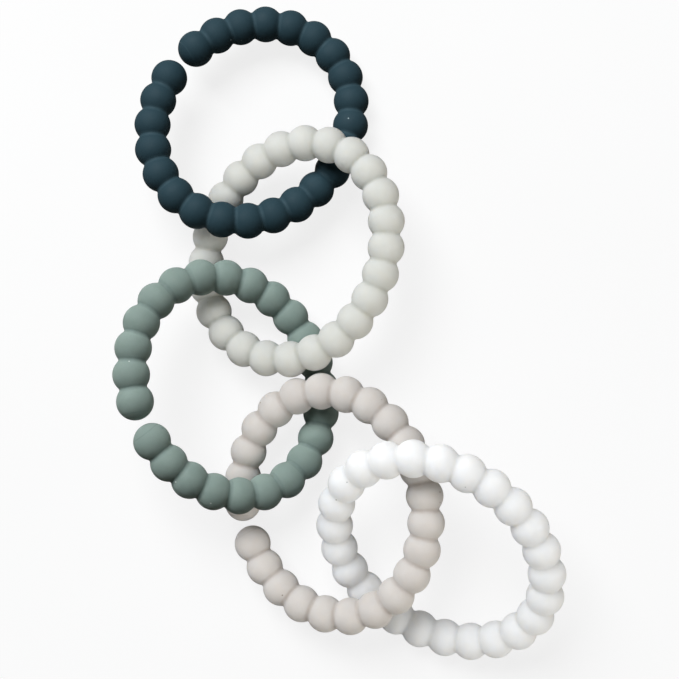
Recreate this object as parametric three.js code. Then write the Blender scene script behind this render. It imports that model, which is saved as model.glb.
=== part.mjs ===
// Five open rings for a baby, hooked one through the next in a loose chain that lies on a table.
// Units are millimetres, +Z is up, and the chain rests on z = 0 with its box centred on the origin.
import * as THREE from "three";

// ---- Driving dimensions ----

// Every ring is the same silicone moulding: a row of overlapping round beads on an oval, open at one side.
const beadDiameter = 11;
const beadPitch = 8;
const beadCount = 24;
const halfDepth = 28.8; // oval centre to the bead row at the back, opposite the opening
const halfSpan = 33.9; // oval centre to the bead row at either flank

// How finely the solid is faceted.
const sidesAround = 12;
const stepsPerBead = 4;
const stepsPerTip = 3;

// Where each ring lies. centre is the middle of its oval. lean is its angle to the table, highSide is the
// compass direction of its raised side, and back is the compass direction of the side opposite its opening.
// Compass directions are in degrees, counted from +X towards +Y.
const rings = [
  { name: "ring_slate", colour: "#2b3f48", centre: [-26.6, 63.6, 11.7], lean: 11, highSide: 208, back: -39 },
  { name: "ring_pearl", colour: "#cfd1ca", centre: [-13.5, 22.5, 15.1], lean: 18.5, highSide: 0, back: -24.5 },
  { name: "ring_sage", colour: "#7d918a", centre: [-33.0, -18.4, 17.1], lean: 23.5, highSide: 192, back: 24 },
  { name: "ring_sand", colour: "#d3ccc7", centre: [-1.9, -53.8, 15.7], lean: 17.5, highSide: 12, back: 14 },
  { name: "ring_white", colour: "#e3e5e8", centre: [29.7, -67.7, 21.5], lean: 33.5, highSide: 61, back: 47 },
];

// ---- The bead row ----

const beadRadius = beadDiameter / 2;
const ringAxis = new THREE.Vector3(0, 0, 1);

function pointOnOval(angle) {
  return new THREE.Vector3(halfDepth * Math.cos(angle), halfSpan * Math.sin(angle), 0);
}

// The angle on the oval one bead pitch further on, measured straight from bead to bead.
function nextBeadAngle(angle) {
  const from = pointOnOval(angle);
  let step = beadPitch / Math.hypot(halfDepth * Math.sin(angle), halfSpan * Math.cos(angle));
  for (let pass = 0; pass < 6; pass += 1) {
    step *= beadPitch / from.distanceTo(pointOnOval(angle + step));
  }
  return angle + step;
}

// Bead centres from one open end to the other. The back of the ring, on +X, lies between the middle two.
function beadCentres() {
  const angles = [Math.asin(beadPitch / 2 / halfSpan)];
  while (angles.length < beadCount / 2) {
    angles.push(nextBeadAngle(angles[angles.length - 1]));
  }
  const oneArm = angles.map((angle) => pointOnOval(-angle)).reverse();
  const otherArm = angles.map((angle) => pointOnOval(angle));
  return [...oneArm, ...otherArm];
}

// ---- The ring solid, as round sections along the bead row ----

// A slice of one bead, square to the row's direction, at an angle from the bead's own middle slice.
function slice(centre, direction, latitude) {
  return {
    centre: centre.clone().addScaledVector(direction, beadRadius * Math.sin(latitude)),
    direction,
    radius: beadRadius * Math.cos(latitude),
  };
}

// Slices of the whole row without the two end points. Neighbouring beads share the slice where they meet.
function rowSlices(centres) {
  const seam = Math.asin(beadPitch / beadDiameter);
  const tipStep = (Math.PI / 2 - seam) / stepsPerTip;
  const directions = centres.slice(1).map((centre, index) => centre.clone().sub(centres[index]).normalize());
  const slices = [];
  for (let step = 1; step < stepsPerTip; step += 1) {
    slices.push(slice(centres[0], directions[0], step * tipStep - Math.PI / 2));
  }
  centres.forEach((centre, index) => {
    const arriving = directions[Math.max(index - 1, 0)];
    const leaving = directions[Math.min(index, directions.length - 1)];
    for (let step = index === 0 ? 0 : 1; step <= stepsPerBead; step += 1) {
      const share = step / stepsPerBead;
      const direction = arriving.clone().lerp(leaving, share).normalize();
      slices.push(slice(centre, direction, (2 * share - 1) * seam));
    }
  });
  const lastCentre = centres[centres.length - 1];
  const lastDirection = directions[directions.length - 1];
  for (let step = 1; step < stepsPerTip; step += 1) {
    slices.push(slice(lastCentre, lastDirection, seam + step * tipStep));
  }
  return slices;
}

// The point of a slice at one of its corners; corner 0 lies in the plane of the ring.
function cornerOf({ centre, direction, radius }, corner) {
  const turn = (corner / sidesAround) * 2 * Math.PI;
  const inPlane = ringAxis.clone().cross(direction);
  return centre
    .clone()
    .addScaledVector(inPlane, radius * Math.cos(turn))
    .addScaledVector(ringAxis, radius * Math.sin(turn));
}

function ringGeometry() {
  const centres = beadCentres();
  const slices = rowSlices(centres);
  const first = slices[0];
  const last = slices[slices.length - 1];
  const startTip = centres[0].clone().addScaledVector(first.direction, -beadRadius);
  const endTip = centres[centres.length - 1].clone().addScaledVector(last.direction, beadRadius);

  const points = [startTip, endTip];
  slices.forEach((each) => {
    for (let corner = 0; corner < sidesAround; corner += 1) {
      points.push(cornerOf(each, corner));
    }
  });
  const cornerIndex = (sliceIndex, corner) => 2 + sliceIndex * sidesAround + (corner % sidesAround);

  const faces = [];
  for (let corner = 0; corner < sidesAround; corner += 1) {
    const lastSlice = slices.length - 1;
    faces.push(0, cornerIndex(0, corner + 1), cornerIndex(0, corner));
    faces.push(1, cornerIndex(lastSlice, corner), cornerIndex(lastSlice, corner + 1));
    for (let sliceIndex = 0; sliceIndex < lastSlice; sliceIndex += 1) {
      const near = cornerIndex(sliceIndex, corner);
      const nearNext = cornerIndex(sliceIndex, corner + 1);
      const far = cornerIndex(sliceIndex + 1, corner);
      const farNext = cornerIndex(sliceIndex + 1, corner + 1);
      faces.push(near, nearNext, farNext, near, farNext, far);
    }
  }

  const geometry = new THREE.BufferGeometry().setFromPoints(points);
  geometry.setIndex(faces);
  geometry.computeVertexNormals();
  return geometry;
}

// ---- The chain ----

const degrees = THREE.MathUtils.degToRad;

function siliconeMaterial(colour) {
  return new THREE.MeshStandardMaterial({ color: colour, roughness: 0.62, metalness: 0, flatShading: true });
}

// A ring turned in its own plane, inside a group that leans it over and carries it to its place.
function placedRing(geometry, { name, colour, centre, lean, highSide, back }) {
  const ring = new THREE.Mesh(geometry, siliconeMaterial(colour));
  ring.name = name;
  ring.rotation.z = degrees(back - highSide);
  const place = new THREE.Group();
  place.rotation.set(0, degrees(-lean), degrees(highSide), "ZYX");
  place.position.set(...centre);
  place.add(ring);
  return place;
}

const chain = new THREE.Group();
const sharedGeometry = ringGeometry();
rings.forEach((ring) => chain.add(placedRing(sharedGeometry, ring)));

// Stand the chain on z = 0 with its box centred over the origin.
const box = new THREE.Box3().setFromObject(chain, true);
const middle = box.getCenter(new THREE.Vector3());
chain.position.set(-middle.x, -middle.y, -box.min.z);

export default chain;
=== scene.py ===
"""Five beaded silicone rings for a baby, hooked through one another in a loose chain.

The chain lies on a pale table and is seen from straight above. Units are metres.
"""

import math

import bpy
import numpy as np
from mathutils import Euler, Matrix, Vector


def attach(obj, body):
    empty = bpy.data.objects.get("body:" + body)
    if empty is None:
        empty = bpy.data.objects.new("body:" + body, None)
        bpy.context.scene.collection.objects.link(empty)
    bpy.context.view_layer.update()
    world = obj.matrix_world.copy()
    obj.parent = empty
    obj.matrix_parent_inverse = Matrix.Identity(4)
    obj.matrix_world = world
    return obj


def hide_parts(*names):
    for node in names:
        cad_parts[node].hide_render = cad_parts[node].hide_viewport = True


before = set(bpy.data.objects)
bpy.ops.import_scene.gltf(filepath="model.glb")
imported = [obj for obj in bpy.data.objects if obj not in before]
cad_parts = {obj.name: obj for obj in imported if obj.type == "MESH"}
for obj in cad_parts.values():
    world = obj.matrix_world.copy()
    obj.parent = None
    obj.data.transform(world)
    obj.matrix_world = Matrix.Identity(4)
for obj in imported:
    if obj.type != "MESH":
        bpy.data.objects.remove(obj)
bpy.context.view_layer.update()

MM = 0.001

# The moulding that every ring shares: round beads on an oval, open at one side.
BEAD_RADIUS = 5.5 * MM
BEAD_PITCH = 8 * MM
BEAD_COUNT = 24
HALF_DEPTH = 28.8 * MM
HALF_SPAN = 33.9 * MM
CREASE_RADIUS = 0.8 * MM  # rounds the foot of the crease between two beads
PARTING_HEIGHT = 0.02 * MM  # the faint line that the two mould halves leave round the ring
PARTING_FADE = 4  # how sharply that line dies away on the round tips

# How finely the skin is meshed.
STEPS_PER_BEAD = 12
STEPS_PER_CREASE = 8
STEPS_PER_TIP = 9
CORNERS_PER_QUARTER = 11
PARTING_CORNERS = [0, 1.2, 3.0]  # degrees from the parting line, to keep it narrow
SPACING_PASSES = 6  # enough for the step between beads to settle
ANGLE_TOLERANCE = 1e-6
MIDDLE_BAND = 0.5 * MM  # how near its middle line a corner of the solid counts as on it

# The camera looks down at the table, a little off square to it.
AIM = Vector((0.1, -3.8, 5.5)) * MM
CAMERA_DISTANCE = 390 * MM
CAMERA_TILT = Euler((math.radians(4.1), math.radians(1.9), 0))
FIELD_OF_VIEW = math.radians(30.25)
NEAREST_SEEN = 10 * MM

# The silicone's skin. Scales are noise cells per metre.
TONE_SCALE = 130.0
MOTTLE_SCALE = 1400.0
CLOUD_SCALE = 420.0
LINT_SCALE = 300.0
SHEEN_SCALE = 260.0
WAVE_SCALE = 500.0
WAVE_HEIGHT = 0.12 * MM
GRAIN_SCALE = 3600.0
GRAIN_HEIGHT = 0.06 * MM
BUMP_STRENGTH = 0.5
GLOW_REACH = (1.0, 0.94, 0.86)  # how far red, green and blue light spread under the skin

# The table hides its shadows from the camera as a light box would, but throws little light back.
FLOOR_GLOW = 0.85
FLOOR_BOUNCE = "#8e8b86"
FLOOR_BRIGHTNESS = 1.02
TABLE_HALF_SIDE = 6.0
TABLE_DROP = 0.1 * MM  # keeps it just clear of the smooth undersides of the beads
AMBIENT = 0.14
WALL_BRIGHTNESS = 0.93


# ---- The row of beads, in the ring's own frame: +X is its back, Z its axis ----

def point_on_oval(angle):
    return np.array([HALF_DEPTH * math.cos(angle), HALF_SPAN * math.sin(angle), 0.0])


def next_bead_angle(angle):
    """The angle on the oval one bead pitch further on, measured straight from bead to bead."""
    start = point_on_oval(angle)
    step = BEAD_PITCH / math.hypot(HALF_DEPTH * math.sin(angle), HALF_SPAN * math.cos(angle))
    for _ in range(SPACING_PASSES):
        step *= BEAD_PITCH / np.linalg.norm(point_on_oval(angle + step) - start)
    return angle + step


def bead_centres():
    """Bead centres from one open end to the other."""
    angles = [math.asin(BEAD_PITCH / 2 / HALF_SPAN)]
    while len(angles) < BEAD_COUNT // 2:
        angles.append(next_bead_angle(angles[-1]))
    arm = np.array([point_on_oval(angle) for angle in angles])
    return np.concatenate([arm[::-1] * [1, -1, 1], arm])


def row_slices(centres):
    """Round slices along the row, as (middle, direction, radius, closeness to a crease)."""
    directions = np.diff(centres, axis=0)
    directions /= np.linalg.norm(directions, axis=1)[:, None]
    half_pitch = BEAD_PITCH / 2
    crease_reach = half_pitch * CREASE_RADIUS / (BEAD_RADIUS + CREASE_RADIUS)
    crease_height = math.sqrt((BEAD_RADIUS + CREASE_RADIUS) ** 2 - half_pitch**2)
    edge = math.asin((half_pitch - crease_reach) / BEAD_RADIUS)
    slices = []

    def add_bead_slice(centre, direction, latitude):
        closeness = abs(latitude) / edge if abs(latitude) <= edge else 0.0
        middle = centre + direction * BEAD_RADIUS * math.sin(latitude)
        slices.append((middle, direction, BEAD_RADIUS * math.cos(latitude), closeness))

    def add_tip(centre, direction, latitudes):
        for latitude in latitudes:
            add_bead_slice(centre, direction, latitude)

    def add_bead(centre, arriving, leaving):
        for step in range(STEPS_PER_BEAD + 1):
            latitude = edge * (2 * step / STEPS_PER_BEAD - 1)
            share = (math.sin(latitude) / math.sin(edge) + 1) / 2
            direction = arriving * (1 - share) + leaving * share
            add_bead_slice(centre, direction / np.linalg.norm(direction), latitude)

    def add_crease(middle, direction):
        for step in range(1, STEPS_PER_CREASE):
            along = crease_reach * (2 * step / STEPS_PER_CREASE - 1)
            radius = crease_height - math.sqrt(CREASE_RADIUS**2 - along**2)
            slices.append((middle + direction * along, direction, radius, 1.0))

    tip_latitudes = np.linspace(edge, math.pi / 2, STEPS_PER_TIP + 1)[1:-1]
    add_tip(centres[0], directions[0], -tip_latitudes[::-1])
    for index, centre in enumerate(centres):
        arriving = directions[max(index - 1, 0)]
        leaving = directions[min(index, len(directions) - 1)]
        add_bead(centre, arriving, leaving)
        if index < len(directions):
            add_crease((centre + centres[index + 1]) / 2, leaving)
    add_tip(centres[-1], directions[-1], tip_latitudes)
    return slices


def corner_angles():
    """Angles round a slice, closer together at the parting line, which lies at 0 and at half a turn."""
    quarter = PARTING_CORNERS + list(np.linspace(0, 90, CORNERS_PER_QUARTER + 1)[1:-1])
    quarter = np.radians(sorted(quarter))
    half = np.concatenate([quarter, [math.pi / 2], math.pi - quarter[::-1]])
    return np.concatenate([half, half[1:-1] + math.pi])


def parting_line(angle, radius):
    """How far the mould's parting line stands proud at this angle, fading towards the ring's tips."""
    on_line = abs(math.sin(angle)) < ANGLE_TOLERANCE
    return PARTING_HEIGHT * min(1.0, radius / BEAD_RADIUS) ** PARTING_FADE if on_line else 0.0


def ring_mesh(name):
    """One ring's skin as a closed mesh, with how deep in a crease each point lies."""
    centres = bead_centres()
    slices = row_slices(centres)
    angles = corner_angles()
    axis = np.array([0.0, 0.0, 1.0])
    points = [centres[0] - slices[0][1] * BEAD_RADIUS, centres[-1] + slices[-1][1] * BEAD_RADIUS]
    crease = [0.0, 0.0]
    for middle, direction, radius, closeness in slices:
        in_plane = np.cross(axis, direction)
        for angle in angles:
            reach = radius + parting_line(angle, radius)
            points.append(middle + reach * (math.cos(angle) * in_plane + math.sin(angle) * axis))
            crease.append(closeness)

    count = len(angles)
    last = len(slices) - 1

    def corner(slice_index, angle_index):
        return 2 + slice_index * count + angle_index % count

    faces = []
    for k in range(count):
        faces.append((0, corner(0, k + 1), corner(0, k)))
        faces.append((1, corner(last, k), corner(last, k + 1)))
        for s in range(last):
            faces.append((corner(s, k), corner(s, k + 1), corner(s + 1, k + 1), corner(s + 1, k)))

    mesh = bpy.data.meshes.new(name)
    mesh.from_pydata([tuple(point) for point in points], [], faces)
    mesh.shade_smooth()
    mesh.attributes.new("crease", "FLOAT", "POINT").data.foreach_set("value", crease)
    return mesh


# ---- Where each ring lies, read from its CAD solid ----

def ring_pose(node):
    """The turn and the middle of a ring's own frame, from the spread of its solid's corners."""
    corners = np.array([vertex.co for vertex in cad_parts[node].data.vertices])
    corners = np.unique(np.round(corners, 6), axis=0)
    long_way, back, axis = np.linalg.svd(corners - corners.mean(axis=0), full_matrices=False)[2]
    axis = axis * np.sign(axis[2])
    # Only the back of the ring crosses its middle line, because the opening faces the other way.
    across = corners @ long_way
    on_middle_line = np.abs(across - (across.min() + across.max()) / 2) < MIDDLE_BAND
    if (corners[on_middle_line] @ back).mean() < (corners @ back).mean():
        back = -back
    turn = np.array([back, np.cross(axis, back), axis])
    local = corners @ turn.T
    beads = bead_centres()
    middle = (local.min(axis=0) + local.max(axis=0) - beads.min(axis=0) - beads.max(axis=0)) / 2
    return turn, middle @ turn


def build_ring(node, piece_name, material):
    mesh = ring_mesh(piece_name)
    turn, middle = ring_pose(node)
    own = np.empty(len(mesh.vertices) * 3, np.float32)
    mesh.vertices.foreach_get("co", own)
    placed = own.reshape(-1, 3) @ turn + middle
    mesh.vertices.foreach_set("co", placed.astype(np.float32).ravel())
    mesh.update()
    mesh.materials.append(material)
    ring = bpy.data.objects.new(piece_name, mesh)
    bpy.context.scene.collection.objects.link(ring)
    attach(ring, node)
    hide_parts(node)
    return ring


# ---- Materials ----

def srgb(code):
    """A hex sRGB colour as linear RGBA."""
    channels = [int(code[i:i + 2], 16) / 255 for i in (1, 3, 5)]
    linear = [c / 12.92 if c <= 0.04045 else ((c + 0.055) / 1.055) ** 2.4 for c in channels]
    return (*linear, 1.0)


class Shader:
    """A material's node tree, with short ways to add the nodes used here."""

    def __init__(self, name):
        self.material = bpy.data.materials.new(name)
        self.material.use_nodes = True
        self.tree = self.material.node_tree
        self.tree.nodes.clear()

    def add(self, kind, inputs, **settings):
        node = self.tree.nodes.new(kind)
        for key, value in settings.items():
            setattr(node, key, value)
        for key, value in inputs.items():
            self.feed(node.inputs[key], value)
        return node

    def feed(self, socket, value):
        if isinstance(value, bpy.types.NodeSocket):
            self.tree.links.new(value, socket)
        else:
            socket.default_value = value

    def noise(self, place, scale, detail=3.0, roughness=0.5):
        inputs = {"Vector": place, "Scale": scale, "Detail": detail, "Roughness": roughness}
        return self.add("ShaderNodeTexNoise", inputs).outputs["Fac"]

    def spread(self, value, low, high, to_low=0.0, to_high=1.0):
        inputs = {"Value": value, "From Min": low, "From Max": high, "To Min": to_low, "To Max": to_high}
        return self.add("ShaderNodeMapRange", inputs, clamp=True).outputs["Result"]

    def bump(self, height, distance, inputs=None):
        inputs = {"Height": height, "Strength": BUMP_STRENGTH, "Distance": distance, **(inputs or {})}
        return self.add("ShaderNodeBump", inputs).outputs[0]

    def times(self, first, second):
        return self.add("ShaderNodeMath", {0: first, 1: second}, operation="MULTIPLY").outputs[0]

    def mix(self, share, start, end):
        # A Mix node has sockets of every type; these are its colour ones.
        color_a, color_b, color_out = 6, 7, 2
        node = self.add("ShaderNodeMix", {0: share, color_a: start, color_b: end}, data_type="RGBA")
        return node.outputs[color_out]


def silicone(name, colour, shade, crease, speck, glow_depth, gloss):
    """Matt moulded silicone: faintly mottled, finely grained, with stray lint. Its creases are painted
    towards the crease colour: painted shade where that colour is darker than the ring, and a line of
    dust and painted highlight where it is lighter, as on slate.
    """
    s = Shader(name)
    place = s.add("ShaderNodeTexCoord", {}).outputs["Object"]

    tone = s.spread(s.noise(place, TONE_SCALE), low=0.32, high=0.68)
    base = s.mix(tone, srgb(shade), srgb(colour))
    mottle_noise = s.noise(place, MOTTLE_SCALE, detail=4.0, roughness=0.6)
    mottle = s.spread(mottle_noise, low=0.3, high=0.7, to_low=0.0, to_high=0.5)
    base = s.mix(mottle, base, srgb(shade))
    depth = s.add("ShaderNodeAttribute", {}, attribute_name="crease").outputs["Fac"]
    cloud_noise = s.noise(place, CLOUD_SCALE, detail=4.0, roughness=0.6)
    cloud = s.spread(cloud_noise, low=0.35, high=0.7, to_low=0.4, to_high=1.0)
    # Painted shade in the creases: deep in a crease the colour moves towards the crease colour, which is
    # darker on the pale and sage rings; on slate that colour is lighter, dust that also serves as a
    # painted highlight.
    painted_crease_shade_and_dust = s.spread(depth, low=0.86, high=1.0, to_low=0.0, to_high=0.8)
    base = s.mix(s.times(painted_crease_shade_and_dust, cloud), base, srgb(crease))

    cells = s.add("ShaderNodeTexVoronoi", {"Vector": place, "Scale": LINT_SCALE, "Randomness": 1.0})
    dot = s.spread(cells.outputs["Distance"], low=0.05, high=0.09, to_low=1.0, to_high=0.0)
    chance = s.add("ShaderNodeSeparateColor", {"Color": cells.outputs["Color"]}).outputs["Red"]
    lint = s.times(dot, s.spread(chance, low=0.9, high=0.92))
    base = s.mix(lint, base, srgb(speck))

    sheen_noise = s.noise(place, SHEEN_SCALE, detail=4.0)
    roughness = s.spread(sheen_noise, low=0.3, high=0.7, to_low=0.6, to_high=0.74)
    wave = s.bump(s.noise(place, WAVE_SCALE, detail=2.0), WAVE_HEIGHT)
    grain = s.bump(s.noise(place, GRAIN_SCALE), GRAIN_HEIGHT, {"Normal": wave})
    surface = s.add(
        "ShaderNodeBsdfPrincipled",
        {
            "Base Color": base,
            "Roughness": roughness,
            "Specular IOR Level": gloss,
            "Normal": grain,
            "Subsurface Weight": 1.0 if glow_depth else 0.0,
            "Subsurface Radius": GLOW_REACH,
            "Subsurface Scale": glow_depth,
        },
    )
    s.add("ShaderNodeOutputMaterial", {"Surface": surface.outputs[0]})
    return s.material


def table_top():
    """Near white to the camera with faint shadows, and grey in what it throws back at the rings."""
    s = Shader("table_top")
    place = s.add("ShaderNodeTexCoord", {}).outputs["Object"]
    white = s.mix(s.noise(place, 6.0), srgb("#f8f8f8"), srgb("#fcfcfc"))
    lit = s.add("ShaderNodeBsdfDiffuse", {"Color": white}).outputs[0]
    glow = s.add("ShaderNodeEmission", {"Color": white, "Strength": FLOOR_BRIGHTNESS}).outputs[0]
    seen = s.add("ShaderNodeMixShader", {0: FLOOR_GLOW, 1: lit, 2: glow}).outputs[0]
    bounced = s.add("ShaderNodeBsdfDiffuse", {"Color": srgb(FLOOR_BOUNCE)}).outputs[0]
    camera_ray = s.add("ShaderNodeLightPath", {}).outputs["Is Camera Ray"]
    surface = s.add("ShaderNodeMixShader", {0: camera_ray, 1: bounced, 2: seen}).outputs[0]
    s.add("ShaderNodeOutputMaterial", {"Surface": surface})
    return s.material


# ---- The studio ----

def build_table():
    side = TABLE_HALF_SIDE
    mesh = bpy.data.meshes.new("table")
    corners = [(-side, -side, 0), (side, -side, 0), (side, side, 0), (-side, side, 0)]
    mesh.from_pydata(corners, [], [(0, 1, 2, 3)])
    mesh.materials.append(table_top())
    table = bpy.data.objects.new("table", mesh)
    table.location.z = -TABLE_DROP
    bpy.context.scene.collection.objects.link(table)
    return table


def soft_light(name, position, side, power, colour, lit):
    """A square lamp turned to the chain. Where pieces are given, it lights only those."""
    light = bpy.data.lights.new(name, "AREA")
    light.size = side
    light.energy = power
    light.color = colour
    lamp = bpy.data.objects.new(name, light)
    lamp.location = position
    lamp.rotation_euler = Vector(position).to_track_quat("Z", "Y").to_euler()
    bpy.context.scene.collection.objects.link(lamp)
    if lit:
        receivers = bpy.data.collections.new(name + "_receivers")
        for piece in lit:
            receivers.objects.link(piece)
        lamp.light_linking.receiver_collection = receivers


def studio_walls():
    """Pale walls to the camera, past the table's edge, that light the chain only a little."""
    world = bpy.data.worlds.new("studio")
    world.use_nodes = True
    nodes = world.node_tree.nodes
    links = world.node_tree.links
    ambient = nodes["Background"]
    ambient.inputs["Strength"].default_value = AMBIENT
    seen = nodes.new("ShaderNodeBackground")
    seen.inputs["Strength"].default_value = WALL_BRIGHTNESS
    camera_ray = nodes.new("ShaderNodeLightPath").outputs["Is Camera Ray"]
    mixed = nodes.new("ShaderNodeMixShader")
    links.new(camera_ray, mixed.inputs[0])
    links.new(ambient.outputs[0], mixed.inputs[1])
    links.new(seen.outputs[0], mixed.inputs[2])
    links.new(mixed.outputs[0], nodes["World Output"].inputs["Surface"])
    return world


def light_studio(table, slate_ring, sage_ring, pearl_ring, sand_ring, white_ring):
    """Light the chain from the upper left, more softly on the pale rings than on the dark ones."""
    window = (-0.44, 0.83, 1.2)
    cool = (0.98, 0.99, 1.0)
    white = [white_ring]
    pale = [pearl_ring, sand_ring, white_ring]
    # Each lamp's name, position and side in metres, power in watts, colour, and the pieces it lights.
    lamps = [
        ("window", window, 0.9, 31.0, cool, [table, slate_ring, sage_ring]),
        ("pale_window", window, 0.9, 21.0, cool, [pearl_ring, sand_ring]),
        ("white_window", window, 0.9, 15.0, cool, white),
        ("white_left", (-1.2, 0.5, 0.35), 1.0, 6.0, (0.97, 0.985, 1.0), white),
        ("white_below", (0.4, -1.2, 0.4), 1.2, 2.5, (1.0, 0.99, 0.97), white),
        ("pale_left", (-1.2, 0.5, 0.45), 1.0, 5.0, (0.96, 0.98, 1.0), pale),
        ("pale_right", (1.15, -0.7, 0.45), 1.0, 6.0, (1.0, 0.97, 0.9), pale),
        ("warm_fill", (1.2, -0.5, 0.7), 0.8, 1.0, (1.0, 0.9, 0.76), []),
        ("pale_fill", (0.3, -0.9, 0.9), 1.6, 7.0, (1.0, 0.99, 0.96), pale),
        ("white_above", (0.2, 1.2, 0.6), 1.4, 8.0, (1.0, 0.995, 0.98), white),
        ("sage_fill", (1.3, 0.1, 0.35), 0.8, 1.6, (1.0, 0.98, 0.95), [sage_ring]),
    ]
    for name, position, side, power, colour, lit in lamps:
        soft_light(name, position, side, power, colour, lit)
    bpy.context.scene.world = studio_walls()
    bpy.context.scene.view_settings.view_transform = "Standard"


def place_camera():
    lens = bpy.data.cameras.new("overhead")
    lens.angle = FIELD_OF_VIEW
    lens.clip_start = NEAREST_SEEN
    camera = bpy.data.objects.new("overhead", lens)
    camera.rotation_euler = CAMERA_TILT
    away = CAMERA_TILT.to_matrix() @ Vector((0, 0, CAMERA_DISTANCE))
    camera.location = AIM + away
    bpy.context.scene.collection.objects.link(camera)
    bpy.context.scene.camera = camera


# ---- The chain ----

# The fourth colour of each is its crease colour: painted shade, darker than the ring, on pearl, sage,
# sand and white; on slate a lighter crease line of dust and painted highlight.
slate = silicone("slate", "#2d434c", "#293f48", "#364c55", "#a9bcc0", 0.0, 0.12)
pearl = silicone("pearl", "#dbdcd8", "#d6d7d2", "#cfd0c8", "#a39a8a", 4 * MM, 0.25)
sage = silicone("sage", "#8b9c95", "#83948e", "#72837f", "#c9d2cc", 0.3 * MM, 0.25)
sand = silicone("sand", "#d9d5d1", "#d4cfcb", "#cbc3bc", "#9d9186", 4 * MM, 0.25)
white = silicone("white", "#ecedee", "#e9eaeb", "#e3e4e4", "#9aa0a0", 8 * MM, 0.25)

slate_ring = build_ring("ring_slate", "slate_ring", slate)
pearl_ring = build_ring("ring_pearl", "pearl_ring", pearl)
sage_ring = build_ring("ring_sage", "sage_ring", sage)
sand_ring = build_ring("ring_sand", "sand_ring", sand)
white_ring = build_ring("ring_white", "white_ring", white)

table = build_table()
light_studio(table, slate_ring, sage_ring, pearl_ring, sand_ring, white_ring)
place_camera()
